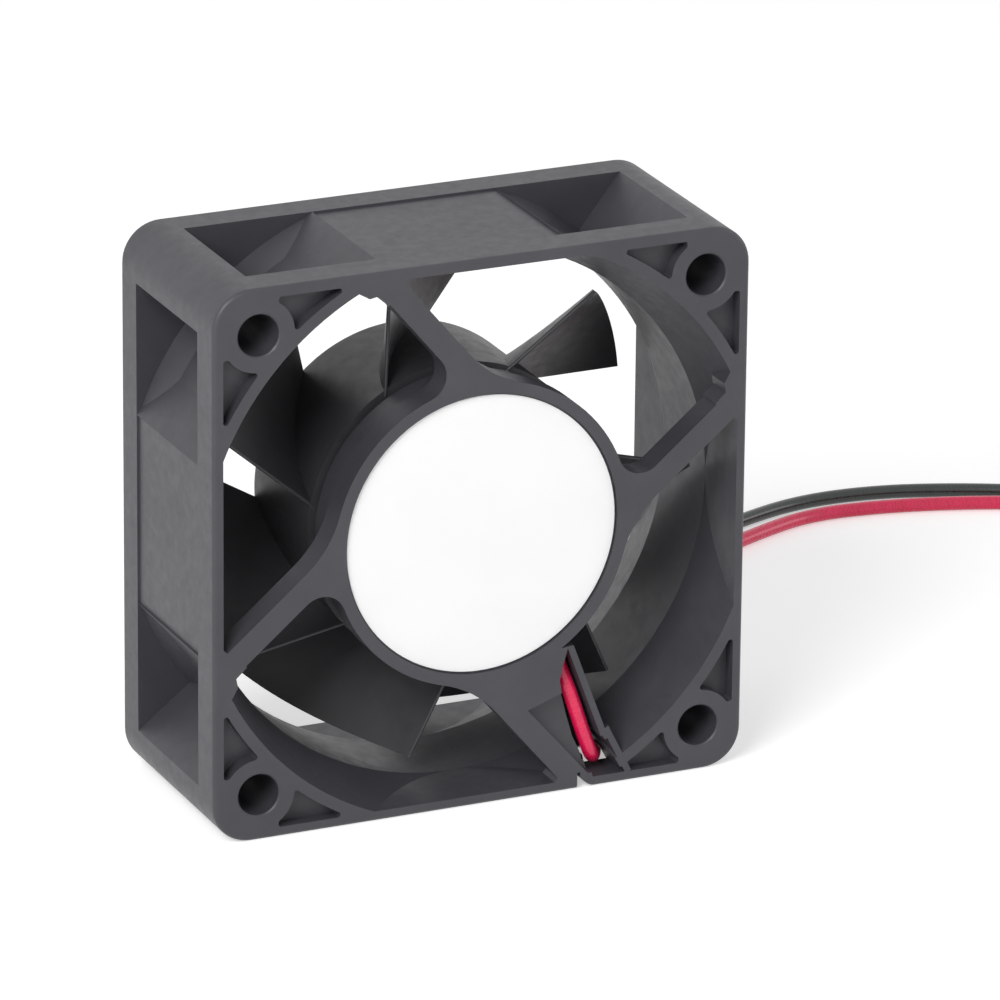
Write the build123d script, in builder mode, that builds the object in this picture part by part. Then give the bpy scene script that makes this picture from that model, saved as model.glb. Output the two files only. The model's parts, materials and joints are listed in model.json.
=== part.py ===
from build123d import *
import os
from math import acos, atan2, cos, degrees, hypot, pi, radians, sin, tan

os.makedirs("parts", exist_ok=True)

# Square axial fan with a brushless motor and two flying leads.
# X is to the right, Y runs from the front face to the back, Z is up.
# The origin is on the surface that the fan stands on, under the middle of its body.
# Lengths are in millimetres, and a depth is counted from the front face.

# Frame
frame_size = 60.0
frame_depth = 25.0
flange = 4.2
frame_corner = 4.2
edge_round = 0.5
rim = 1.1
throat_r = 28.9
opening_r = 31.3
flare = 7.5
duct_wall = 1.5

# Screw holes
hole_pitch = 50.0
hole_d = 4.5
hole_chamfer = 0.15

# Side pockets between the flanges
panel_half = 10.4
panel_recess = 0.25
facet_run = 4.7
facet_angle = 38.0
pocket_floor = 20.0
column_wall = 1.05
column_angle = 52.0

# Corner pockets in the front face
band = 1.25
boss_r = 3.95
corner_depth = 1.6
corner_end = 22.8
corner_fillet = 0.3

# Struts and the motor base that they carry
strut_width = 2.6
strut_depth = 3.1
strut_offset = 10.2
strut_angle = 40.0
strut_small_fillet = 2.6
strut_large_fillet = 12.0
base_r = 16.6
base_floor = 1.6
skirt_r = 16.0
skirt_wall = 1.2
skirt_end = 6.6
label_r = 15.3
label_recess = 0.5
collar_wall = 1.35
collar_end = 4.2
rest_count = 3
rest_width = 2.0
rest_length = 1.5
rest_start = 1.5

# Lead channel beside the lower strut
channel_bottom = 5.8
channel_floor = 1.2
tunnel_end = 5.0
ledge_depth = 1.5
rib = 0.7
rear_notch_width = 4.0
rear_notch_height = 2.1

# Fits
seat_gap = 0.02
run_gap = 0.05

# Shaft, bush and clip
shaft_r = 1.5
shaft_start = 2.2
groove_r = 1.15
clip_r = 2.6
clip_thick = 0.4
clip_mouth = 1.9
bush_r = 3.4
bush_length = 2.5
bush_neck_r = 2.6
bush_neck_length = 1.3

# Bearings
bearing_r = 4.0
bearing_width = 3.0
ring_wall = 0.65
ball_count = 7
ball_r = 0.72
shield_thick = 0.15
shield_inset = 0.05
cage_wall = 0.7
cage_back = 1.1
bearing_start = 3.6
bearing_gap = 6.4

# Bearing tube
tube_wall = 1.0
tube_shoulder = 0.8
tube_lip = 0.4

# Spring between the rear bearing and the bush
spring_wire = 0.2
spring_turns = 3.0
spring_room = 2.0

# Rotor
hub_r = 16.35
hub_start = 7.6
hub_end = 22.8
hub_wall = 1.2
hub_back = 1.5
hub_round = 1.0
yoke_wall = 0.8
yoke_inset = 0.4
magnet_wall = 1.4
magnet_inset = 0.9
magnet_length = 10.2

# Blades
blade_count = 7
tip_gap = 1.75
blade_start = 7.7
blade_end_root = 21.8
blade_end_tip = 23.8
blade_front_root = 66.5
blade_front_tip = 54.1
blade_rear_root = 29.4
blade_rear_tip = 15.6
blade_bow_root = 7.0
blade_bow_tip = 7.0
blade_root_thick = 1.2
blade_tip_thick = 0.8
blade_edge_thick = 0.4
blade_inside = 11.1
blade_outside = 28.7

# Stator
air_gap = 0.4
sheet = 0.5
sheet_count = 10
core_start = 9.6
pole_count = 4
pole_neck = 3.4
pole_shoe = 1.4
pole_gap = 2.2
core_hub_wall = 2.0
bobbin_plate = 0.8
bobbin_guard = 1.7
bobbin_guard_wall = 0.6
coil_wall = 1.5
coil_inner_r = 7.7
coil_outer_r = 9.9
pin_r = 0.3
pin_clear = 0.1
pin_sink = 0.6
pin_stub = 0.5

# Circuit board and what is soldered to it
board_r = 14.2
board_thick = 1.0
board_start = 4.8
board_hole_r = 6.8
chip = (4.9, 3.9, 1.1)
chip_orbit = 10.2
chip_leg = (0.4, 0.9, 0.2)
chip_leg_pitch = 1.27
capacitor = (3.2, 1.6, 1.4)
diode = (2.8, 1.6, 1.1)
resistor = (2.0, 1.25, 0.55)
part_orbit = 10.4
solder_r = 0.75
solder_high = 0.45
solder_slope = 0.35
chip_turn = 45.0
capacitor_turn = 60.0
diode_turn = 150.0
resistor_turns = (205.0, 235.0)

# Label
label_thick = 0.15
label_gap = 0.2

# Leads, their coil and connector
lead_d = 1.6
coil_center = (116.0, 50.0)
coil_mean_r = 8.5
coil_turns = 2.25
plug_size = (5.4, 11.5, 4.8)
plug_center = (124.6, 68.0)
plug_pitch = 2.5
plug_bore = 2.1
terminal_wall = 0.2
terminal_length = 8.0
plug_edge = 0.4
plug_window = (1.1, 1.6)
tail_start = 2.0
tail_half = 1.15
tail_into_plug = 1.2
corner_share = 0.45

# Working planes: the front view, seen from the front, and the half section (radius, depth)
axis_height = frame_size / 2
front = Plane(origin=(0, -frame_depth / 2, axis_height), x_dir=(1, 0, 0), z_dir=(0, -1, 0))
half_section = Plane(origin=(0, -frame_depth / 2, axis_height), x_dir=(1, 0, 0), z_dir=(0, 0, 1))
fan_axis = Axis((0, 0, axis_height), (0, 1, 0))
middle_depth = frame_depth - 2 * flange
side = frame_size / 2
bore_half = side - rim
tube_r = bearing_r + tube_wall


def at(depth):
    """The front view's plane, moved back to a depth."""
    return front.offset(-depth)


def spot(x, depth, z):
    """A point given by its place in the front view and its depth."""
    return (x, depth - frame_depth / 2, axis_height + z)


def finish(part, name):
    """Labels a piece and writes it to its own file."""
    part.label = name
    export_step(part, f"parts/{name}.step")


def ring(inner_r, outer_r, start, end):
    """A plain ring round the fan's axis, between two depths."""
    with BuildPart() as piece:
        with BuildSketch(at(start)):
            Circle(outer_r)
            Circle(inner_r, mode=Mode.SUBTRACT)
        extrude(amount=start - end)
    return piece


def outline(points):
    """A flat face through some points of the front view."""
    with BuildSketch() as shape:
        with BuildLine():
            Polyline(*points, close=True)
        make_face()
    return shape.sketch


# Side pockets: one beside each end of each side's middle panel
hole_at = hole_pitch / 2
column_reach = hole_d / 2 + column_wall


def column_x(height):
    """Where the slanted wall of a corner column stands, at a height in the front view."""
    rise = (height - hole_at) * cos(radians(column_angle))
    return hole_at - (column_reach - rise) / sin(radians(column_angle))


facet_x = panel_half + facet_run
facet_z = side - facet_run * tan(radians(facet_angle))
with BuildSketch() as pocket_pair:
    with BuildLine():
        Polyline(
            (panel_half, side + rim),
            (panel_half, side),
            (facet_x, facet_z),
            (facet_x, pocket_floor),
            (column_x(pocket_floor), pocket_floor),
            (column_x(side), side),
            (column_x(side), side + rim),
            close=True,
        )
    make_face()
    mirror(about=Plane.YZ)

with BuildPart() as side_pockets:
    with BuildSketch(at(flange)):
        with PolarLocations(0, 4):
            add(pocket_pair.sketch)
    extrude(amount=-middle_depth)
    with BuildSketch(half_section):
        with BuildLine():
            Polyline(
                (0, 0),
                (opening_r + duct_wall, 0),
                (throat_r + duct_wall, flare),
                (throat_r + duct_wall, frame_depth - flare),
                (opening_r + duct_wall, frame_depth),
                (0, frame_depth),
                close=True,
            )
        make_face()
    revolve(axis=fan_axis, mode=Mode.SUBTRACT)

# Air path: a round throat that flares into the corners at both faces
with BuildPart() as air_path:
    with BuildSketch(half_section):
        with BuildLine():
            Polyline(
                (0, 0),
                (opening_r, 0),
                (throat_r, flare),
                (throat_r, frame_depth - flare),
                (opening_r, frame_depth),
                (0, frame_depth),
                close=True,
            )
        make_face()
    revolve(axis=fan_axis)
    with BuildSketch(front):
        Rectangle(2 * bore_half, 2 * bore_half)
    extrude(amount=-frame_depth, mode=Mode.INTERSECT)

# Corner pockets in the front face: two beside each screw hole
diagonal = Plane(origin=(0, 0, 0), x_dir=(1, 1, 0), z_dir=(1, -1, 0))
with BuildSketch() as corner_pair:
    with Locations((corner_end, bore_half)):
        Rectangle(corner_end / 2, corner_end / 2, align=(Align.MAX, Align.MAX))
    Circle(opening_r + band, mode=Mode.SUBTRACT)
    with Locations((hole_at, hole_at)):
        Circle(boss_r, mode=Mode.SUBTRACT)
    fillet(corner_pair.vertices(), corner_fillet)
    mirror(about=diagonal)

# Struts: four arms that run past the hub, with the round motor base they carry
strut_near = strut_offset - strut_width / 2
strut_far = strut_offset + strut_width / 2
near_turn = degrees(acos(strut_near / base_r))
far_turn = degrees(acos(strut_far / base_r))
strut_out = Location((0, 0, 0), (0, 0, strut_angle)) * Location((strut_offset, side, 0))


def root_turn(vertex):
    """How far round from its strut's square foot a corner of the spider lies, in degrees."""
    return (degrees(atan2(vertex.Y, vertex.X)) - strut_angle) % 90


def is_root(vertex, turn):
    on_base = abs(hypot(vertex.X, vertex.Y) - base_r) < seat_gap
    return on_base and abs(root_turn(vertex) - turn) < 1


with BuildSketch() as spider:
    Circle(base_r)
    with PolarLocations(0, 4):
        with Locations(strut_out):
            Rectangle(strut_width, 2 * side - base_r)
    Rectangle(2 * side - rim, 2 * side - rim, mode=Mode.INTERSECT)
    near_roots = spider.vertices().filter_by(lambda v: is_root(v, near_turn))
    fillet(near_roots, strut_small_fillet)
    far_roots = spider.vertices().filter_by(lambda v: is_root(v, far_turn))
    fillet(far_roots, strut_large_fillet)


# Lead channel: a tub beside the lower strut, with a ledge, a slot for the leads and a thin outer rib
rib_from = Vector(10.15, -13.9)
rib_to = Vector(14.3, -24.9)
rib_run = (rib_to - rib_from).normalized()
rib_out = Vector(-rib_run.Y, rib_run.X) * (rib / 2)
tub_end = -25.3
tub_inside = [(3.0, -14.5), (8.6, tub_end), (2.2, -17.2)]
tub_points = [
    tub_inside[0],
    rib_from + rib_out,
    rib_to + rib_out,
    rib_to - rib_out,
    (12.1, -26.7),
    (12.4, -bore_half - seat_gap),
    (11.2, -bore_half - seat_gap),
    tub_inside[1],
    tub_inside[2],
]
ledge_points = [(5.3, -20.3), (9.2, -18.95), (10.6, -19.3), (12.9, -26.7), (12.9, -28.4), (12.3, -28.4)]
slot_points = [
    rib_from - rib_out,
    (9.35, -15.7),
    (8.95, -17.5),
    (9.2, -18.95),
    (9.8, -19.7),
    (10.4, -22.1),
    (11.1, -24.5),
    (12.1, -26.7),
    (13.4, -27.5),
    rib_to - rib_out,
]
tunnel_points = [
    (7.4, -11.7),
    (12.1, -8.5),
    (10.6, -14.0),
    (11.1, -17.4),
    (11.3, -18.3),
    (9.0, -18.3),
    (8.3, -14.4),
]
passage_points = [(12.9, -bore_half), (16.35, -bore_half), (13.95, -24.4), (11.1, -24.5), (12.1, -26.7), (12.5, -27.6)]
passage_end = 3.2
descent_points = [(13.4, -bore_half), (16.35, -bore_half), (13.95, -24.4), (11.8, -24.5), (12.0, -27.2), (13.1, -27.6)]
descent_end = 8.6
mouth_left = 11.1
mouth_top = -28.2
finger_tip = (11.45, -28.75)
finger_bend = (12.1, -29.45)
finger_flat = (14.0, -side - seat_gap)
guard_from = Vector(14.3, -23.6)
guard_to = Vector(17.0, -28.95)
guard_middle = (guard_from + guard_to) * 0.5
guard_turn = degrees(atan2(guard_to.Y - guard_from.Y, guard_to.X - guard_from.X))
notch_center = 16.75
gusset_points = [(-14.3, side - rim), (-14.0, 28.0), (-12.8, 27.3), (-11.8, 27.5), (-10.7, 26.3), (-8.5, side - rim)]
tub_outline = outline(tub_points)
gusset_outline = outline(gusset_points)
ledge_outline = outline(ledge_points)
slot_outline = outline(slot_points)
tunnel_outline = outline(tunnel_points)
passage_outline = outline(passage_points)
descent_outline = outline(descent_points)


# Housing: one moulding of frame, struts, motor base and lead channel
with BuildPart() as housing:
    with BuildSketch(front):
        RectangleRounded(frame_size, frame_size, frame_corner)
    extrude(amount=-frame_depth)
    front_edges = housing.faces().sort_by(Axis.Y)[0].edges()
    back_edges = housing.faces().sort_by(Axis.Y)[-1].edges()
    fillet(front_edges + back_edges, edge_round)
    with BuildSketch(front):
        with GridLocations(hole_pitch, hole_pitch, 2, 2):
            Circle(hole_d / 2)
    extrude(amount=-frame_depth, mode=Mode.SUBTRACT)
    hole_rims = housing.edges().filter_by(GeomType.CIRCLE).filter_by(lambda e: abs(e.radius - hole_d / 2) < seat_gap)
    chamfer(hole_rims, hole_chamfer)
    with BuildSketch(at(flange)):
        with PolarLocations(side, 4):
            Rectangle(2 * panel_recess, 2 * panel_half)
    extrude(amount=-middle_depth, mode=Mode.SUBTRACT)
    add(side_pockets.part, mode=Mode.SUBTRACT)
    add(air_path.part, mode=Mode.SUBTRACT)
    with BuildSketch(front):
        with PolarLocations(0, 4):
            add(corner_pair.sketch)
    extrude(amount=-corner_depth, mode=Mode.SUBTRACT)
    with BuildSketch(front):
        with Locations(Location((guard_middle.X, guard_middle.Y, 0), (0, 0, guard_turn))):
            Rectangle((guard_to - guard_from).length, rib)
    extrude(amount=-flange)
    with BuildSketch(front):
        add(spider.sketch)
    extrude(amount=-strut_depth)
    with BuildSketch(front):
        with PolarLocations(0, 4):
            add(gusset_outline)
    extrude(amount=-strut_depth)
    with BuildSketch(front):
        Circle(skirt_r)
        Circle(skirt_r - skirt_wall, mode=Mode.SUBTRACT)
    extrude(amount=-skirt_end)
    with BuildSketch(front):
        add(tub_outline)
    extrude(amount=-channel_bottom)
    with BuildSketch(at(base_floor)):
        Circle(skirt_r - skirt_wall)
    extrude(amount=base_floor - skirt_end, mode=Mode.SUBTRACT)
    with BuildSketch(front):
        Circle(label_r)
    extrude(amount=-label_recess, mode=Mode.SUBTRACT)
    with BuildSketch(at(base_floor)):
        Circle(tube_r + collar_wall)
        Circle(tube_r + seat_gap, mode=Mode.SUBTRACT)
    extrude(amount=base_floor - collar_end)
    with BuildSketch(at(base_floor)):
        with PolarLocations(skirt_r - skirt_wall, rest_count, start_angle=rest_start):
            Rectangle(2 * rest_length, rest_width)
        Circle(skirt_r - skirt_wall / 2, mode=Mode.INTERSECT)
    extrude(amount=base_floor - board_start)
    with BuildSketch(front):
        add(ledge_outline)
    extrude(amount=-ledge_depth, mode=Mode.SUBTRACT)
    with BuildSketch(front):
        add(slot_outline)
    extrude(amount=channel_floor - channel_bottom, mode=Mode.SUBTRACT)
    with BuildSketch(at(base_floor)):
        add(tunnel_outline)
    extrude(amount=base_floor - tunnel_end, mode=Mode.SUBTRACT)
    with BuildSketch(front):
        add(passage_outline)
    extrude(amount=-passage_end, mode=Mode.SUBTRACT)
    with BuildSketch(at(passage_end)):
        add(descent_outline)
    extrude(amount=passage_end - descent_end, mode=Mode.SUBTRACT)
    with BuildSketch(front):
        with BuildLine():
            Polyline(
                finger_flat,
                (mouth_left, -side - rim),
                (mouth_left, mouth_top),
                (finger_tip[0], mouth_top),
                finger_tip,
            )
            ThreePointArc(finger_tip, finger_bend, finger_flat)
        make_face()
    extrude(amount=-flange, mode=Mode.SUBTRACT)
    with BuildSketch(at(frame_depth - flange)):
        with Locations((notch_center, -side)):
            Rectangle(rear_notch_width, 2 * rear_notch_height)
    extrude(amount=-flange, mode=Mode.SUBTRACT)
finish(housing.part, "housing")

# Bearing tube: a brass sleeve pressed into the motor base, with a seat at each end for a bearing
tube_start = base_floor
front_seat = bearing_start + bearing_width
rear_bearing_start = front_seat + bearing_gap
rear_bearing_end = rear_bearing_start + bearing_width
tube_end = rear_bearing_end + tube_lip
with BuildPart() as bearing_tube:
    with BuildSketch(half_section):
        with BuildLine():
            Polyline(
                (tube_r, tube_start),
                (tube_r, tube_end),
                (bearing_r + seat_gap, tube_end),
                (bearing_r + seat_gap, rear_bearing_start),
                (bearing_r - tube_shoulder, rear_bearing_start),
                (bearing_r - tube_shoulder, front_seat),
                (bearing_r + seat_gap, front_seat),
                (bearing_r + seat_gap, tube_start),
                close=True,
            )
        make_face()
    revolve(axis=fan_axis)
finish(bearing_tube.part, "bearing_tube")

# Bearings: rings with a raceway, balls, a crown cage and two shields, alike at both ends
inner_ring_r = shaft_r + ring_wall
outer_ring_r = bearing_r - ring_wall
ball_orbit = (inner_ring_r + outer_ring_r) / 2
groove = ball_r + run_gap
cage_r = ball_orbit + cage_wall / 2
for name, start in (("front_bearing", bearing_start), ("rear_bearing", rear_bearing_start)):
    end = start + bearing_width
    middle = (start + end) / 2
    with BuildPart() as raceway:
        with BuildSketch(half_section):
            with Locations((ball_orbit, middle)):
                Circle(groove)
        revolve(axis=fan_axis)

    inner_ring = ring(shaft_r + seat_gap, inner_ring_r, start, end)
    outer_ring = ring(outer_ring_r, bearing_r, start, end)
    with inner_ring:
        add(raceway.part, mode=Mode.SUBTRACT)
    with outer_ring:
        add(raceway.part, mode=Mode.SUBTRACT)

    with BuildPart() as balls:
        with Locations(at(middle)):
            with PolarLocations(ball_orbit, ball_count):
                Sphere(ball_r)

    cage = ring(ball_orbit - cage_wall / 2, cage_r, middle - 2 * run_gap, middle + cage_back)
    with cage:
        with Locations(at(middle)):
            with PolarLocations(ball_orbit, ball_count):
                Sphere(groove, mode=Mode.SUBTRACT)

    shield_in = inner_ring_r + 2 * run_gap
    shield_out = outer_ring_r - seat_gap
    with BuildPart() as shields:
        for shield_start in (start + shield_inset, end - shield_inset - shield_thick):
            with BuildSketch(at(shield_start)):
                Circle(shield_out)
                Circle(shield_in, mode=Mode.SUBTRACT)
            extrude(amount=-shield_thick)

    finish(inner_ring.part, f"{name}_inner_ring")
    finish(outer_ring.part, f"{name}_outer_ring")
    finish(balls.part, f"{name}_balls")
    finish(cage.part, f"{name}_cage")
    finish(shields.part, f"{name}_shields")

# Shaft, with a groove for its clip
bush_start = rear_bearing_end + spring_room
bush_end = bush_start + bush_length
neck_end = bush_end + bush_neck_length
clip_start = bearing_start - clip_thick
with BuildPart() as shaft:
    with BuildSketch(at(shaft_start)):
        Circle(shaft_r)
    extrude(amount=shaft_start - neck_end)
    chamfer(shaft.edges().group_by(Axis.Y)[0], hole_chamfer)
    with BuildSketch(at(clip_start - seat_gap)):
        Circle(2 * shaft_r)
        Circle(groove_r, mode=Mode.SUBTRACT)
    extrude(amount=-clip_thick - 2 * seat_gap, mode=Mode.SUBTRACT)
finish(shaft.part, "shaft")

with BuildPart() as shaft_clip:
    with BuildSketch(at(clip_start)):
        Circle(clip_r)
        Circle(groove_r + seat_gap, mode=Mode.SUBTRACT)
        with Locations((0, -clip_r)):
            Rectangle(clip_mouth, 2 * clip_r, mode=Mode.SUBTRACT)
    extrude(amount=-clip_thick)
finish(shaft_clip.part, "shaft_clip")

# Preload spring round the shaft, from the rear inner ring to the bush
spring_r = inner_ring_r - spring_wire
spring_start = rear_bearing_end + spring_wire
spring_pitch = (spring_room - 2 * spring_wire) / spring_turns
with BuildPart() as preload_spring:
    with BuildLine():
        wire = Helix(
            pitch=spring_pitch,
            height=spring_room - 2 * spring_wire,
            radius=spring_r,
            center=spot(0, spring_start, 0),
            direction=(0, 1, 0),
        )
    with BuildSketch(Plane(origin=wire @ 0, z_dir=wire % 0)):
        Circle(spring_wire)
    sweep(path=wire, is_frenet=True)
finish(preload_spring.part, "preload_spring")

# Rotor bush: holds the shaft in the yoke and the impeller
with BuildPart() as rotor_bush:
    with BuildSketch(at(bush_start)):
        Circle(bush_r)
    extrude(amount=-bush_length)
    with BuildSketch(at(bush_end)):
        Circle(bush_neck_r)
    extrude(amount=-bush_neck_length)
    with BuildSketch(at(bush_start)):
        Circle(shaft_r + seat_gap)
    extrude(amount=bush_start - neck_end, mode=Mode.SUBTRACT)
finish(rotor_bush.part, "rotor_bush")

# Yoke: a steel cup round the magnet
yoke_r = hub_r - hub_wall - seat_gap
yoke_end = hub_end - hub_back
with BuildPart() as rotor_yoke:
    with BuildSketch(at(hub_start + yoke_inset)):
        Circle(yoke_r)
    extrude(amount=hub_start + yoke_inset - yoke_end)
    with BuildSketch(at(hub_start + yoke_inset)):
        Circle(yoke_r - yoke_wall)
    extrude(amount=hub_start + yoke_inset - bush_end, mode=Mode.SUBTRACT)
    with BuildSketch(at(bush_end)):
        Circle(bush_neck_r + seat_gap)
    extrude(amount=bush_end - yoke_end, mode=Mode.SUBTRACT)
finish(rotor_yoke.part, "rotor_yoke")

magnet_r = yoke_r - yoke_wall - seat_gap
magnet_start = hub_start + magnet_inset
magnet_ring = ring(magnet_r - magnet_wall, magnet_r, magnet_start, magnet_start + magnet_length)
finish(magnet_ring.part, "magnet_ring")


# One blade: a thin curved section near the hub and one past the tip, joined by straight lines and trimmed
blade_tip_r = throat_r - tip_gap
root_cut_r = hub_r - hub_wall / 2
blade_middle = (blade_front_root + blade_front_tip + blade_rear_root + blade_rear_tip) / 4
bow_root = (blade_front_root + blade_rear_root) / 2 + blade_bow_root
bow_tip = (blade_front_tip + blade_rear_tip) / 2 + blade_bow_tip
half_depth_root = (blade_start + blade_end_root) / 2
half_depth_tip = (blade_start + blade_end_tip) / 2
blade_lines = [
    (blade_front_root, blade_front_tip, blade_start, blade_start),
    (bow_root, bow_tip, half_depth_root, half_depth_tip),
    (blade_rear_root, blade_rear_tip, blade_end_root, blade_end_tip),
]
outward = (cos(radians(blade_middle)), 0, sin(radians(blade_middle)))


def blade_point(line, reach):
    """Where one of the blade's straight lines from root to tip passes a plane across it: sideways, depth."""
    root_angle, tip_angle, root_depth, tip_depth = line
    root_turn = radians(blade_middle - root_angle)
    tip_turn = radians(blade_middle - tip_angle)
    root = Vector(hub_r * cos(root_turn), hub_r * sin(root_turn), root_depth)
    tip = Vector(blade_tip_r * cos(tip_turn), blade_tip_r * sin(tip_turn), tip_depth)
    spot_on_line = root + (tip - root) * ((reach - root.X) / (tip.X - root.X))
    return Vector(spot_on_line.Y, spot_on_line.Z)


with BuildPart() as blade:
    for reach, thick in ((blade_inside, blade_root_thick), (blade_outside, blade_tip_thick)):
        place = Plane(
            origin=spot(reach * outward[0], 0, reach * outward[2]),
            x_dir=(outward[2], 0, -outward[0]),
            z_dir=outward,
        )
        front_edge, middle, rear_edge = [blade_point(line, reach) for line in blade_lines]
        chord = (rear_edge - front_edge).normalized()
        across = Vector(-chord.Y, chord.X)
        belly = across * (thick / 2)
        lip = across * (blade_edge_thick / 2)
        nose = chord * (blade_edge_thick / 2)
        with BuildSketch(place):
            with BuildLine():
                ThreePointArc(front_edge + lip, middle + belly, rear_edge + lip)
                ThreePointArc(rear_edge + lip, rear_edge + nose, rear_edge - lip)
                ThreePointArc(rear_edge - lip, middle - belly, front_edge - lip)
                ThreePointArc(front_edge - lip, front_edge - nose, front_edge + lip)
            make_face()
    loft(ruled=True)
    with BuildSketch(at(0)):
        Circle(blade_tip_r)
        Circle(root_cut_r, mode=Mode.SUBTRACT)
    extrude(amount=-frame_depth, mode=Mode.INTERSECT)

# Impeller: a plastic cup over the yoke, with the blades on it
with BuildPart() as impeller:
    with BuildSketch(at(hub_start)):
        Circle(hub_r)
    extrude(amount=hub_start - hub_end)
    fillet(impeller.edges().group_by(Axis.Y)[-1], hub_round)
    with BuildSketch(at(hub_start)):
        Circle(hub_r - hub_wall)
    extrude(amount=hub_start - yoke_end, mode=Mode.SUBTRACT)
    with BuildSketch(at(yoke_end)):
        Circle(bush_neck_r + seat_gap)
    extrude(amount=yoke_end - neck_end - seat_gap, mode=Mode.SUBTRACT)
    for number in range(blade_count):
        turned = blade.part.rotate(fan_axis, -number * 360 / blade_count)
        add(turned)
finish(impeller.part, "impeller")

# Stator: a stack of steel sheets with four poles
stator_r = magnet_r - magnet_wall - air_gap
core_hub_r = tube_r + core_hub_wall
core_end = core_start + sheet_count * sheet
shoe_r = stator_r - pole_shoe
pin_orbit = shoe_r + bobbin_guard_wall + pin_r + pin_clear
with BuildSketch() as sheet_outline:
    Circle(stator_r)
    Circle(shoe_r, mode=Mode.SUBTRACT)
    with PolarLocations(stator_r, pole_count, start_angle=180 / pole_count):
        Rectangle(2 * pole_shoe + pole_gap, pole_gap, mode=Mode.SUBTRACT)
    with PolarLocations((core_hub_r + stator_r) / 2 - pole_shoe / 2, pole_count):
        Rectangle(stator_r - core_hub_r, pole_neck)
    Circle(core_hub_r)
    Circle(tube_r + seat_gap, mode=Mode.SUBTRACT)

with BuildPart() as stator_sheets:
    for number in range(sheet_count):
        with BuildSketch(at(core_start + number * sheet)):
            add(sheet_outline.sketch)
        extrude(amount=-sheet)
finish(stator_sheets.part, "stator_sheets")

# Insulators: a plastic plate on each end of the stack, with guards that keep the windings in place
front_plate = core_start - bobbin_plate
rear_plate_end = core_end + bobbin_plate
with BuildSketch() as guard_outline:
    Circle(shoe_r + bobbin_guard_wall)
    Circle(shoe_r, mode=Mode.SUBTRACT)
    with PolarLocations(stator_r, pole_count, start_angle=180 / pole_count):
        Rectangle(2 * pole_shoe + pole_gap, pole_gap, mode=Mode.SUBTRACT)
    Circle(core_hub_r)
    Circle(core_hub_r - bobbin_guard_wall, mode=Mode.SUBTRACT)

with BuildPart() as insulator_front:
    with BuildSketch(at(front_plate)):
        add(sheet_outline.sketch)
    extrude(amount=-bobbin_plate)
    with BuildSketch(at(front_plate - bobbin_guard)):
        add(guard_outline.sketch)
    extrude(amount=-bobbin_guard)
    with BuildSketch(at(front_plate)):
        with PolarLocations(pin_orbit, pole_count):
            Circle(pin_r + seat_gap)
    extrude(amount=-pin_sink, mode=Mode.SUBTRACT)
finish(insulator_front.part, "insulator_front")

with BuildPart() as insulator_rear:
    with BuildSketch(at(core_end)):
        add(sheet_outline.sketch)
    extrude(amount=-bobbin_plate)
    with BuildSketch(at(rear_plate_end)):
        add(guard_outline.sketch)
    extrude(amount=-bobbin_guard)
finish(insulator_rear.part, "insulator_rear")

# Windings: one coil of wire round each pole
coil_high = rear_plate_end - front_plate
coil_middle = (rear_plate_end + front_plate) / 2
for number, name in enumerate(("right", "top", "left", "bottom")):
    turn = radians(number * 360 / pole_count)
    place = Plane(
        origin=spot(coil_inner_r * cos(turn), coil_middle, coil_inner_r * sin(turn)),
        x_dir=(0, 1, 0),
        z_dir=(cos(turn), 0, sin(turn)),
    )
    with BuildPart() as winding:
        with BuildSketch(place):
            RectangleRounded(coil_high + 2 * coil_wall, pole_neck + 2 * coil_wall, coil_wall)
            Rectangle(coil_high + seat_gap, pole_neck + seat_gap, mode=Mode.SUBTRACT)
        extrude(amount=coil_outer_r - coil_inner_r)
    finish(winding.part, f"winding_{name}")

# Pins that carry the ends of the windings to the circuit board
with BuildPart() as winding_pins:
    with BuildSketch(at(board_start - pin_stub)):
        with PolarLocations(pin_orbit, pole_count):
            Circle(pin_r)
    extrude(amount=board_start - pin_stub - front_plate - pin_sink)
finish(winding_pins.part, "winding_pins")

# Circuit board
board_end = board_start + board_thick
with BuildPart() as circuit_board:
    with BuildSketch(at(board_start)):
        Circle(board_r)
        Circle(board_hole_r, mode=Mode.SUBTRACT)
        with PolarLocations(pin_orbit, pole_count):
            Circle(pin_r + seat_gap, mode=Mode.SUBTRACT)
    extrude(amount=-board_thick)
finish(circuit_board.part, "circuit_board")

# Driver chip on the board's rear side, with four legs along each of its long sides
with BuildPart() as driver_ic:
    with BuildSketch(at(board_end)):
        with PolarLocations(chip_orbit, 1, start_angle=chip_turn):
            Rectangle(chip[1], chip[0])
    extrude(amount=-chip[2])
finish(driver_ic.part, "driver_ic")

with BuildPart() as driver_ic_legs:
    with BuildSketch(at(board_end)):
        for leg_orbit in (chip_orbit - (chip[1] + chip_leg[1]) / 2, chip_orbit + (chip[1] + chip_leg[1]) / 2):
            with PolarLocations(leg_orbit, 1, start_angle=chip_turn):
                with GridLocations(1, chip_leg_pitch, 1, 4):
                    Rectangle(chip_leg[1], chip_leg[0])
    extrude(amount=-chip_leg[2])
finish(driver_ic_legs.part, "driver_ic_legs")


def front_side_part(size, turn):
    """A small block soldered to the board's front side, lying along its orbit."""
    with BuildPart() as block:
        with BuildSketch(at(board_start)):
            with PolarLocations(part_orbit, 1, start_angle=turn):
                Rectangle(size[1], size[0])
        extrude(amount=size[2])
    return block.part


finish(front_side_part(capacitor, capacitor_turn), "capacitor")
finish(front_side_part(diode, diode_turn), "diode")
with BuildPart() as resistors:
    for turn in resistor_turns:
        add(front_side_part(resistor, turn))
finish(resistors.part, "resistors")

# Label in the motor base's recess
with BuildPart() as label:
    with BuildSketch(at(label_recess)):
        Circle(label_r - label_gap)
    extrude(amount=label_thick)
finish(label.part, "label")

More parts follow.
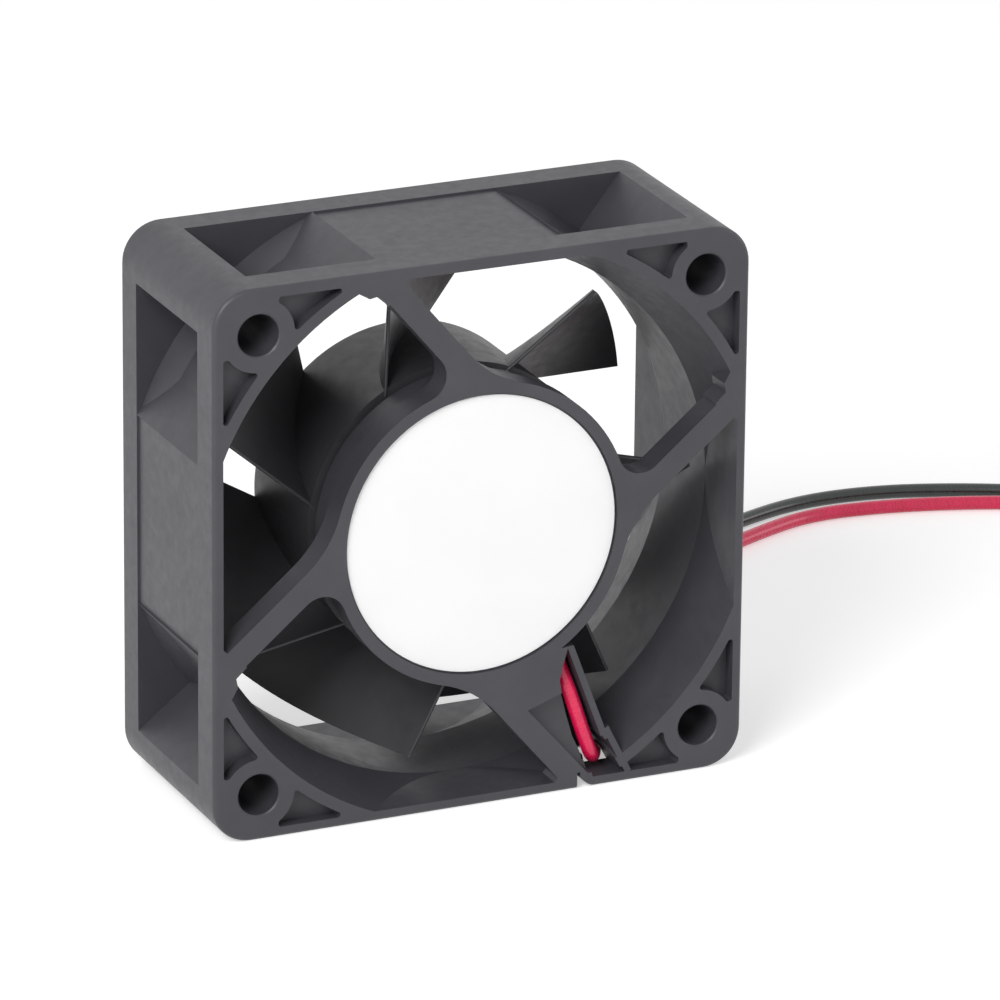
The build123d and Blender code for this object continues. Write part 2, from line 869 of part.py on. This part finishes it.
# Routes of the two leads: x, depth and height from the fan's axis
floor_height = lead_d / 2 + seat_gap - axis_height
red_inside = [
    (10.6, 3.5, -7.6),
    (10.0, 3.0, -9.8),
    (9.45, 2.5, -12.2),
    (9.45, 2.41, -14.6),
    (9.8, 2.35, -16.5),
    (10.65, 1.5, -19.2),
    (11.6, 1.45, -22.0),
    (12.5, 1.45, -24.8),
    (13.6, 1.75, -27.5),
    (15.4, 5.2, -28.05),
]
red_floor = [
    (17.3, 10.0),
    (17.5, 16.0),
    (17.5, 22.0),
    (18.0, 27.5),
    (22.0, 34.0),
    (31.0, 42.5),
    (42.0, 50.0),
    (52.0, 55.2),
    (61.0, 59.8),
    (69.0, 62.8),
    (77.5, 62.2),
    (86.0, 60.0),
    (94.0, 56.8),
    (102.0, 54.0),
    (109.0, 53.3),
    (114.0, 53.2),
]
black_inside = [
    (7.2, 3.5, -8.6),
    (8.1, 3.85, -10.6),
    (9.0, 4.03, -12.6),
    (9.4, 4.03, -14.8),
    (9.8, 4.0, -16.8),
    (10.65, 3.2, -19.4),
    (11.5, 3.1, -22.0),
    (12.3, 3.15, -24.3),
    (13.0, 3.75, -26.4),
    (14.2, 7.2, -27.3),
    (15.5, 11.5, -28.8),
]
black_floor = [
    (15.85, 16.5),
    (15.7, 22.0),
    (16.1, 28.5),
    (20.5, 36.4),
    (29.2, 45.0),
    (39.9, 53.2),
    (50.3, 59.0),
    (59.8, 63.8),
    (69.6, 67.2),
    (79.2, 66.8),
    (88.0, 63.9),
    (96.0, 59.9),
    (103.2, 56.4),
    (109.4, 54.9),
    (114.0, 54.8),
]
coil_width = 2 * lead_d
coil_height = lead_d * (coil_turns + 1)
coil_lane = lead_d / 2
tail_from = coil_center[1] + tail_start
tail_low = plug_size[2] / 2
tail_end = plug_center[1] - plug_size[1] / 2 + tail_into_plug
tail_mid = (tail_from + tail_end) / 2
red_tail = [
    (coil_center[0] + coil_mean_r + coil_lane, tail_from, coil_height - coil_lane),
    (plug_center[0] + tail_half, tail_mid, (coil_height - coil_lane + tail_low) / 2),
    (plug_center[0] + plug_pitch / 2, tail_end, tail_low),
]
black_tail = [
    (coil_center[0] + coil_mean_r - coil_lane, tail_from, coil_height - coil_lane),
    (plug_center[0] - tail_half, tail_mid, (coil_height - coil_lane + tail_low) / 2),
    (plug_center[0] - plug_pitch / 2, tail_end, tail_low),
]


def route(inside, on_floor):
    """All the points of a lead, from its solder joint to its coil."""
    points = [spot(*point) for point in inside]
    points += [spot(x, depth, floor_height) for x, depth in on_floor]
    return [Vector(*point) for point in points]


def cord(points, name):
    """A round lead through some points, with the widest bend that each corner has room for."""
    radii = []
    for before, corner, after in zip(points, points[1:], points[2:]):
        run_in = corner - before
        run_out = after - corner
        half_turn = radians(run_in.get_angle(run_out)) / 2
        radii.append(corner_share * min(run_in.length, run_out.length) / tan(half_turn))
    with BuildPart() as tube:
        with BuildLine() as path:
            FilletPolyline(*points, radius=radii)
        middle_line = path.wires()[0]
        with BuildSketch(Plane(origin=middle_line @ 0, z_dir=middle_line % 0)):
            Circle(lead_d / 2)
        sweep(path=middle_line)
    length = middle_line.length
    section = pi * lead_d**2 / 4
    print(name, "length", round(length, 1), "smallest bend", round(min(radii), 2))
    print(name, "volume over section x length", round(tube.part.volume / (section * length), 4))
    finish(tube.part, name)


cord(route(red_inside, red_floor), "red_lead")
cord(route(black_inside, black_floor), "black_lead")
cord([Vector(*point) for point in red_tail], "red_lead_end")
cord([Vector(*point) for point in black_tail], "black_lead_end")

# The leads' spare length, laid in a small coil
coil_place = Plane(origin=(coil_center[0], coil_center[1], 0), x_dir=(1, 0, 0), z_dir=(0, 0, 1))
with BuildPart() as lead_coil:
    with BuildSketch(coil_place):
        Circle(coil_mean_r + coil_width / 2)
        Circle(coil_mean_r - coil_width / 2, mode=Mode.SUBTRACT)
    extrude(amount=coil_height)
    fillet(lead_coil.edges(), lead_d / 2)
finish(lead_coil.part, "lead_coil")

# Solder: a cone round each pin, and one under the end of each lead
with BuildPart() as solder_joints:
    with BuildSketch(at(board_start)):
        with PolarLocations(pin_orbit, pole_count):
            Circle(solder_r)
            Circle(pin_r, mode=Mode.SUBTRACT)
    extrude(amount=solder_high)
    with BuildSketch(at(board_start)):
        for joint in (red_inside[0], black_inside[0]):
            with Locations((joint[0], joint[2])):
                Circle(solder_r)
    extrude(amount=solder_high)
    tops = solder_joints.faces().group_by(Axis.Y)[0].edges().filter_by(lambda e: abs(e.radius - solder_r) < seat_gap)
    chamfer(tops, solder_slope)
finish(solder_joints.part, "solder_joints")

# Connector with two crimped sockets
with BuildPart() as connector_housing:
    with Locations((plug_center[0], plug_center[1], plug_size[2] / 2)):
        Box(*plug_size)
    chamfer(connector_housing.edges().filter_by(Axis.Y), plug_edge)
    bore_place = Plane(
        origin=(plug_center[0], plug_center[1] - plug_size[1] / 2, plug_size[2] / 2),
        x_dir=(1, 0, 0),
        z_dir=(0, -1, 0),
    )
    with BuildSketch(bore_place):
        with GridLocations(plug_pitch, 1, 2, 1):
            Circle(plug_bore / 2)
    extrude(amount=-plug_size[1], mode=Mode.SUBTRACT)
    window_place = Plane(origin=(plug_center[0], plug_center[1], plug_size[2]), x_dir=(1, 0, 0), z_dir=(0, 0, 1))
    with BuildSketch(window_place):
        with GridLocations(plug_pitch, 1, 2, 1):
            Rectangle(*plug_window)
    extrude(amount=-plug_size[2] / 2, mode=Mode.SUBTRACT)
finish(connector_housing.part, "connector_housing")

socket_r = plug_bore / 2 - seat_gap
with BuildPart() as connector_terminals:
    with BuildSketch(bore_place.offset(plug_center[1] - plug_size[1] / 2 - tail_end - seat_gap)):
        with GridLocations(plug_pitch, 1, 2, 1):
            Circle(socket_r)
            Circle(socket_r - terminal_wall, mode=Mode.SUBTRACT)
    extrude(amount=-terminal_length)
finish(connector_terminals.part, "connector_terminals")
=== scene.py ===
import json
from math import cos, pi, radians, sin

import bpy
from mathutils import Matrix, Vector


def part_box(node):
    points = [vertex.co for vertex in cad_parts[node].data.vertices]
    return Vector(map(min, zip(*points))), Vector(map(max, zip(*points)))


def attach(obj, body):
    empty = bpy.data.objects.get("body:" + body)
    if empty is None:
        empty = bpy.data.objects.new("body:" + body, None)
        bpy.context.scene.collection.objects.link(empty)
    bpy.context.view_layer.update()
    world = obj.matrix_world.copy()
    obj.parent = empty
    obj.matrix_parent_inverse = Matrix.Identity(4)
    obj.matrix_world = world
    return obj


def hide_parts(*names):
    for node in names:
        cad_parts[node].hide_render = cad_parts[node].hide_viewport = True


# Finish, leads, stage, light and camera for a square cooling fan.
# Lengths are in metres: X to the right, Y from the front face to the back, Z up from the floor.

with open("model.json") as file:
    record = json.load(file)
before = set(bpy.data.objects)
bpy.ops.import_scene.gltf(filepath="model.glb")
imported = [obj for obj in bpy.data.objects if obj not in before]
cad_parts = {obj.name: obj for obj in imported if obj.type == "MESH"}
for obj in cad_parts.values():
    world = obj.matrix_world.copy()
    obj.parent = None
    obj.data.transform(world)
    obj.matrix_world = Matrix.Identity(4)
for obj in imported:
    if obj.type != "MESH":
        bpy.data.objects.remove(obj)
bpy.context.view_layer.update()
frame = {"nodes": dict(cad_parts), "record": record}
nodes = frame["nodes"]

MM = 0.001
MICRON = 0.001 * MM
FRONT_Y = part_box("housing")[0][1]
AXIS_Z = (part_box("housing")[0][2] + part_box("housing")[1][2]) / 2


# Material building blocks


def new_material(name):
    """An empty node material with one Principled shader. Returns the material, its tree and the shader."""
    material = bpy.data.materials.new(name)
    material.use_nodes = True
    tree = material.node_tree
    shader = tree.nodes["Principled BSDF"]
    return material, tree, shader


def coordinates(tree):
    """The piece's own coordinates, in metres, so that every pattern stays on it."""
    return tree.nodes.new("ShaderNodeTexCoord").outputs["Object"]


def noise(tree, source, scale, detail=3.0, roughness=0.55, stretch=None):
    """A noise pattern, its size set by the scale, and stretched along an axis where asked."""
    if stretch:
        mapping = tree.nodes.new("ShaderNodeMapping")
        mapping.inputs["Scale"].default_value = stretch
        tree.links.new(source, mapping.inputs["Vector"])
        source = mapping.outputs["Vector"]
    node = tree.nodes.new("ShaderNodeTexNoise")
    node.inputs["Scale"].default_value = scale
    node.inputs["Detail"].default_value = detail
    node.inputs["Roughness"].default_value = roughness
    tree.links.new(source, node.inputs["Vector"])
    return node.outputs["Fac"]


def span(tree, value, low, high, start=0.3, end=0.7):
    """Turns a pattern into a number between low and high."""
    node = tree.nodes.new("ShaderNodeMapRange")
    node.inputs["From Min"].default_value = start
    node.inputs["From Max"].default_value = end
    node.inputs["To Min"].default_value = low
    node.inputs["To Max"].default_value = high
    tree.links.new(value, node.inputs["Value"])
    return node.outputs["Result"]


def two_colours(tree, value, dark, light):
    """A colour between two, chosen by a pattern."""
    node = tree.nodes.new("ShaderNodeMix")
    node.data_type = "RGBA"
    node.inputs["A"].default_value = (*dark, 1)
    node.inputs["B"].default_value = (*light, 1)
    tree.links.new(span(tree, value, low=0.0, high=1.0), node.inputs["Factor"])
    return node.outputs["Result"]


def bump(tree, shader, heights):
    """Adds fine relief: pairs of a pattern and its height in metres, one on top of the other."""
    normal = None
    for value, height in heights:
        node = tree.nodes.new("ShaderNodeBump")
        node.inputs["Distance"].default_value = height
        tree.links.new(value, node.inputs["Height"])
        if normal:
            tree.links.new(normal, node.inputs["Normal"])
        normal = node.outputs["Normal"]
    tree.links.new(normal, shader.inputs["Normal"])


# Materials


def moulded(name, dark, light, rough=(0.40, 0.52)):
    """Satin moulded plastic: fine spark-eroded grain, faint clouding and soft handling marks."""
    material, tree, shader = new_material(name)
    place = coordinates(tree)
    clouds = noise(tree, place, scale=120.0, detail=4.0)
    rubs = noise(tree, place, scale=700.0, detail=5.0, roughness=0.65)
    fine = noise(tree, place, scale=9000.0, detail=2.0)
    tree.links.new(two_colours(tree, clouds, dark, light), shader.inputs["Base Color"])
    tree.links.new(span(tree, rubs, *rough), shader.inputs["Roughness"])
    shader.inputs["Specular IOR Level"].default_value = 0.5
    bump(tree, shader, [(rubs, 6 * MICRON), (fine, 6 * MICRON)])
    return material


def glossy_insulation(name, dark, light):
    """Extruded soft insulation: glossy, with a faint mottle."""
    material, tree, shader = new_material(name)
    place = coordinates(tree)
    mottle = noise(tree, place, scale=900.0, detail=4.0)
    fine = noise(tree, place, scale=4000.0, detail=2.0)
    tree.links.new(two_colours(tree, mottle, dark, light), shader.inputs["Base Color"])
    tree.links.new(span(tree, fine, low=0.24, high=0.34), shader.inputs["Roughness"])
    shader.inputs["Coat Weight"].default_value = 0.35
    shader.inputs["Coat Roughness"].default_value = 0.15
    bump(tree, shader, [(mottle, 10 * MICRON)])
    return material


def metal(name, dark, light, rough=(0.22, 0.36)):
    """Bare metal with fine machining lines."""
    material, tree, shader = new_material(name)
    place = coordinates(tree)
    lines = noise(tree, place, scale=300.0, detail=3.0, roughness=0.6, stretch=(1.0, 60.0, 1.0))
    clouds = noise(tree, place, scale=500.0, detail=3.0)
    tree.links.new(two_colours(tree, clouds, dark, light), shader.inputs["Base Color"])
    tree.links.new(span(tree, lines, *rough), shader.inputs["Roughness"])
    shader.inputs["Metallic"].default_value = 1.0
    bump(tree, shader, [(lines, 4 * MICRON)])
    return material


def wound_wire(name):
    """Fine enamelled wire, laid side by side round each pole."""
    material, tree, shader = new_material(name)
    place = coordinates(tree)
    strands = tree.nodes.new("ShaderNodeTexVoronoi")
    strands.inputs["Scale"].default_value = 5200.0
    tree.links.new(place, strands.inputs["Vector"])
    clouds = noise(tree, place, scale=900.0, detail=3.0)
    colour = two_colours(tree, clouds, dark=(0.46, 0.15, 0.05), light=(0.74, 0.33, 0.13))
    tree.links.new(colour, shader.inputs["Base Color"])
    tree.links.new(span(tree, strands.outputs["Distance"], low=0.22, high=0.40), shader.inputs["Roughness"])
    shader.inputs["Metallic"].default_value = 0.8
    shader.inputs["Coat Weight"].default_value = 0.4
    bump(tree, shader, [(strands.outputs["Distance"], 40 * MICRON)])
    return material


def board_laminate(name):
    """Green lacquer over copper tracks."""
    material, tree, shader = new_material(name)
    place = coordinates(tree)
    tracks = tree.nodes.new("ShaderNodeTexVoronoi")
    tracks.feature = "DISTANCE_TO_EDGE"
    tracks.inputs["Scale"].default_value = 260.0
    tree.links.new(place, tracks.inputs["Vector"])
    colour = two_colours(tree, tracks.outputs["Distance"], dark=(0.035, 0.16, 0.07), light=(0.06, 0.26, 0.12))
    tree.links.new(colour, shader.inputs["Base Color"])
    clouds = noise(tree, place, scale=800.0)
    tree.links.new(span(tree, clouds, low=0.25, high=0.38), shader.inputs["Roughness"])
    bump(tree, shader, [(tracks.outputs["Distance"], 30 * MICRON)])
    return material


def label_film(name):
    """Bare white film with a faint orange-peel."""
    material, tree, shader = new_material(name)
    place = coordinates(tree)
    peel = noise(tree, place, scale=1500.0, detail=2.0)
    clouds = noise(tree, place, scale=90.0, detail=3.0)
    colour = two_colours(tree, clouds, dark=(0.95, 0.95, 0.95), light=(0.98, 0.98, 0.98))
    tree.links.new(colour, shader.inputs["Base Color"])
    tree.links.new(span(tree, peel, low=0.34, high=0.46), shader.inputs["Roughness"])
    bump(tree, shader, [(peel, 6 * MICRON)])
    return material


MATERIALS = {
    "frame_plastic": moulded("frame_plastic", (0.043, 0.043, 0.051), (0.056, 0.056, 0.065)),
    "impeller_plastic": moulded(
        "impeller_plastic", (0.038, 0.038, 0.042), (0.050, 0.050, 0.055), (0.36, 0.50)),
    "label_film": label_film("label_film"),
    "tube_brass": metal("tube_brass", (0.68, 0.50, 0.24), (0.82, 0.64, 0.34)),
    "bearing_steel": metal("bearing_steel", (0.60, 0.60, 0.61), (0.74, 0.74, 0.75), (0.10, 0.20)),
    "cage_plastic": moulded("cage_plastic", (0.66, 0.60, 0.46), (0.76, 0.70, 0.56)),
    "shaft_steel": metal("shaft_steel", (0.56, 0.56, 0.57), (0.70, 0.70, 0.71), (0.14, 0.26)),
    "yoke_steel": metal("yoke_steel", (0.48, 0.48, 0.49), (0.64, 0.64, 0.65)),
    "magnet_rubber": moulded("magnet_rubber", (0.085, 0.080, 0.075), (0.13, 0.125, 0.12), (0.55, 0.70)),
    "core_steel": metal("core_steel", (0.26, 0.27, 0.29), (0.40, 0.41, 0.43), (0.32, 0.48)),
    "insulator_plastic": moulded("insulator_plastic", (0.72, 0.72, 0.67), (0.82, 0.82, 0.78)),
    "enamelled_wire": wound_wire("enamelled_wire"),
    "board_laminate": board_laminate("board_laminate"),
    "chip_plastic": moulded("chip_plastic", (0.018, 0.018, 0.018), (0.030, 0.030, 0.030), (0.45, 0.6)),
    "tinned_metal": metal("tinned_metal", (0.62, 0.62, 0.62), (0.78, 0.78, 0.78), (0.2, 0.34)),
    "capacitor_ceramic": moulded("capacitor_ceramic", (0.46, 0.33, 0.20), (0.56, 0.43, 0.28)),
    "red_insulation": glossy_insulation("red_insulation", (0.74, 0.004, 0.070), (0.86, 0.008, 0.098)),
    "black_insulation": glossy_insulation("black_insulation", (0.012, 0.022, 0.018), (0.024, 0.036, 0.031)),
    "plug_plastic": moulded("plug_plastic", (0.72, 0.70, 0.62), (0.82, 0.80, 0.73)),
}

for subpart in frame["record"]["subparts"]:
    solid = nodes[subpart["node"]]
    solid.data.materials.clear()
    solid.data.materials.append(MATERIALS[subpart["material_slot"]])


# Leads

LEAD_D = 1.6 * MM
FLOOR_CLEARANCE = 0.02 * MM
FLOOR_Z = LEAD_D / 2 + FLOOR_CLEARANCE
COIL_CENTER = Vector((116.0, 50.0, 0)) * MM
COIL_TURNS = 2.25
COIL_START = radians(-90)
POINTS_A_TURN = 16
COIL_CLIMB = LEAD_D
CURVE_ORDER = 3
CURVE_STEPS = 8
ROUND_STEPS = 6

# Routes from the solder joint to the coil, in millimetres: x, depth behind the front face, and height from
# the fan's axis inside the fan, then x and depth along the floor. The outlet is where a lead leaves the
# channel.
RED_OUTLET = (13.6, 1.75, -27.5)
RED_INSIDE = [
    (10.6, 3.5, -7.6),
    (10.0, 3.0, -9.8),
    (9.45, 2.5, -12.2),
    (9.45, 2.41, -14.6),
    (9.8, 2.35, -16.5),
    (10.65, 1.5, -19.2),
    (11.6, 1.45, -22.0),
    (12.5, 1.45, -24.8),
    RED_OUTLET,
    (15.4, 5.2, -28.05),
]
RED_FLOOR = [
    (17.3, 10.0),
    (17.5, 16.0),
    (17.5, 22.0),
    (18.0, 27.5),
    (22.0, 34.0),
    (31.0, 42.5),
    (42.0, 50.0),
    (52.0, 55.2),
    (61.0, 59.8),
    (69.0, 62.8),
    (77.5, 62.2),
    (86.0, 60.0),
    (94.0, 56.8),
    (102.0, 54.0),
    (109.0, 53.3),
    (114.0, 53.2),
]
BLACK_OUTLET = (13.0, 3.75, -26.4)
BLACK_INSIDE = [
    (7.2, 3.5, -8.6),
    (8.1, 3.85, -10.6),
    (9.0, 4.03, -12.6),
    (9.4, 4.03, -14.8),
    (9.8, 4.0, -16.8),
    (10.65, 3.2, -19.4),
    (11.5, 3.1, -22.0),
    (12.3, 3.15, -24.3),
    BLACK_OUTLET,
    (14.2, 7.2, -27.3),
    (15.5, 11.5, -28.8),
]
BLACK_FLOOR = [
    (15.85, 16.5),
    (15.7, 22.0),
    (16.1, 28.5),
    (20.5, 36.4),
    (29.2, 45.0),
    (39.9, 53.2),
    (50.3, 59.0),
    (59.8, 63.8),
    (69.6, 67.2),
    (79.2, 66.8),
    (88.0, 63.9),
    (96.0, 59.9),
    (103.2, 56.4),
    (109.4, 54.9),
    (114.0, 54.8),
]
RED_RADIUS = 9.3 * MM
BLACK_RADIUS = 7.7 * MM

# The last stretch of each lead, from the coil into the connector, in millimetres
RED_TAIL = [(125.75, 57.7, 3.4), (125.85, 63.4, 2.4)]
BLACK_TAIL = [(123.45, 57.7, 3.4), (123.35, 63.4, 2.4)]


def inside_point(x, depth, height):
    """A point inside the fan, from its depth behind the front face and its height above the axis."""
    return Vector((x * MM, FRONT_Y + depth * MM, AXIS_Z + height * MM))


def floor_point(x, depth):
    """A point of a lead's middle line where the lead lies on the floor."""
    return Vector((x * MM, FRONT_Y + depth * MM, FLOOR_Z))


def coil_points(radius):
    """The coil's turns, from its near side round to its right side, each turn on top of the one before."""
    points = []
    last = round(COIL_TURNS * POINTS_A_TURN)
    for step in range(1, last):
        turn = step / POINTS_A_TURN
        angle = COIL_START + turn * 2 * pi
        height = FLOOR_Z + COIL_CLIMB * turn
        points.append(COIL_CENTER + Vector((radius * cos(angle), radius * sin(angle), height)))
    return points


def lead(name, inside, on_floor, radius, tail, material):
    """One lead as a smooth round tube along its route."""
    route = [inside_point(*point) for point in inside]
    route += [floor_point(*point) for point in on_floor]
    route += coil_points(radius)
    route += [Vector(point) * MM for point in tail]
    curve = bpy.data.curves.new(name, "CURVE")
    curve.dimensions = "3D"
    spline = curve.splines.new("NURBS")
    spline.points.add(len(route) - 1)
    for point, place in zip(spline.points, route):
        point.co = (*place, 1)
    spline.order_u = CURVE_ORDER
    spline.use_endpoint_u = True
    spline.resolution_u = CURVE_STEPS
    curve.bevel_depth = LEAD_D / 2
    curve.bevel_resolution = ROUND_STEPS
    curve.use_fill_caps = True
    curve.materials.append(MATERIALS[material])
    piece = bpy.data.objects.new(name, curve)
    bpy.context.scene.collection.objects.link(piece)
    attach(piece, "frame_body")
    return piece


red = lead("red_cord", RED_INSIDE, RED_FLOOR, RED_RADIUS, RED_TAIL, "red_insulation")
black = lead("black_cord", BLACK_INSIDE, BLACK_FLOOR, BLACK_RADIUS, BLACK_TAIL, "black_insulation")
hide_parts("red_lead", "red_lead_end")
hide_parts("black_lead", "black_lead_end", "lead_coil")


# Stage

FLOOR_HALF = 6.0
FLOOR_COLOUR = (0.88, 0.88, 0.88, 1)
FLOOR_ROUGHNESS = 0.9
FLOOR_LIFT = 0.45
HORIZON_LIGHT = 0.66
ZENITH_LIGHT = 0.33


def seen_rays(tree):
    """1 for rays of the camera, in reflections and through clear pieces, and 0 for all others."""
    path = tree.nodes.new("ShaderNodeLightPath")
    rays = path.outputs["Is Camera Ray"]
    for kind in ("Is Glossy Ray", "Is Transmission Ray"):
        node = tree.nodes.new("ShaderNodeMath")
        node.operation = "MAXIMUM"
        tree.links.new(rays, node.inputs[0])
        tree.links.new(path.outputs[kind], node.inputs[1])
        rays = node.outputs["Value"]
    return rays


def stage_floor():
    """A plain pale floor: white to the camera and in reflections, and it keeps the object's shadow."""
    mesh = bpy.data.meshes.new("floor")
    corners = [(-1, -1, 0), (1, -1, 0), (1, 1, 0), (-1, 1, 0)]
    mesh.from_pydata([(FLOOR_HALF * x, FLOOR_HALF * y, z) for x, y, z in corners], [], [(0, 1, 2, 3)])
    floor = bpy.data.objects.new("floor", mesh)
    bpy.context.scene.collection.objects.link(floor)
    material, tree, shader = new_material("floor")
    shader.inputs["Base Color"].default_value = FLOOR_COLOUR
    shader.inputs["Roughness"].default_value = FLOOR_ROUGHNESS
    shader.inputs["Specular IOR Level"].default_value = 0.0
    shader.inputs["Emission Color"].default_value = (1, 1, 1, 1)
    lift = tree.nodes.new("ShaderNodeMath")
    lift.operation = "MULTIPLY"
    lift.inputs[1].default_value = FLOOR_LIFT
    tree.links.new(seen_rays(tree), lift.inputs[0])
    tree.links.new(lift.outputs["Value"], shader.inputs["Emission Strength"])
    mesh.materials.append(material)


def world_light():
    """A surround, white to the camera and in reflections, that lights the object more from the sides."""
    world = bpy.data.worlds.new("surround")
    world.use_nodes = True
    tree = world.node_tree
    background = tree.nodes["Background"]
    background.inputs["Color"].default_value = (1, 1, 1, 1)
    direction = tree.nodes.new("ShaderNodeSeparateXYZ")
    tree.links.new(tree.nodes.new("ShaderNodeTexCoord").outputs["Generated"], direction.inputs["Vector"])
    light = span(tree, direction.outputs["Z"], HORIZON_LIGHT, ZENITH_LIGHT, start=0.0, end=1.0)
    level = tree.nodes.new("ShaderNodeMix")
    tree.links.new(seen_rays(tree), level.inputs["Factor"])
    tree.links.new(light, level.inputs["A"])
    level.inputs["B"].default_value = 1.0
    tree.links.new(level.outputs["Result"], background.inputs["Strength"])
    bpy.context.scene.world = world


def area_lamp(name, place, target, size, power):
    """A round soft lamp, aimed at a point."""
    data = bpy.data.lights.new(name, "AREA")
    data.shape = "DISK"
    data.size = size
    data.energy = power
    lamp = bpy.data.objects.new(name, data)
    lamp.location = place
    lamp.rotation_euler = (Vector(target) - Vector(place)).to_track_quat("-Z", "Y").to_euler()
    bpy.context.scene.collection.objects.link(lamp)


stage_floor()
world_light()
area_lamp("key", place=(-0.40, -0.34, 0.42), target=(-0.02, 0, 0.035), size=0.35, power=2.75)
area_lamp("fill", place=(1.1, -0.45, 0.30), target=(0, 0, 0.03), size=0.7, power=2.0)


# Camera, worked out from the photograph

CAMERA_PLACE = Vector((-0.33839, -0.76319, 0.33758))
CAMERA_FORWARD = Vector((0.38734, 0.85452, -0.34608))
CAMERA_UP = Vector((0.13347, 0.31945, 0.93816))
SENSOR = 36.0
FOCAL_IN_FRAMES = 8.533
VIEW_DEPTH = 20.0

camera_data = bpy.data.cameras.new("camera")
camera_data.sensor_width = SENSOR
camera_data.lens = FOCAL_IN_FRAMES * SENSOR
camera_data.clip_end = VIEW_DEPTH
camera = bpy.data.objects.new("camera", camera_data)
back = -CAMERA_FORWARD.normalized()
right = CAMERA_UP.cross(back).normalized()
up = back.cross(right)
camera.matrix_world = Matrix.Translation(CAMERA_PLACE) @ Matrix((right, up, back)).transposed().to_4x4()
bpy.context.scene.collection.objects.link(camera)
bpy.context.scene.camera = camera

bpy.context.scene.view_settings.view_transform = "Standard"
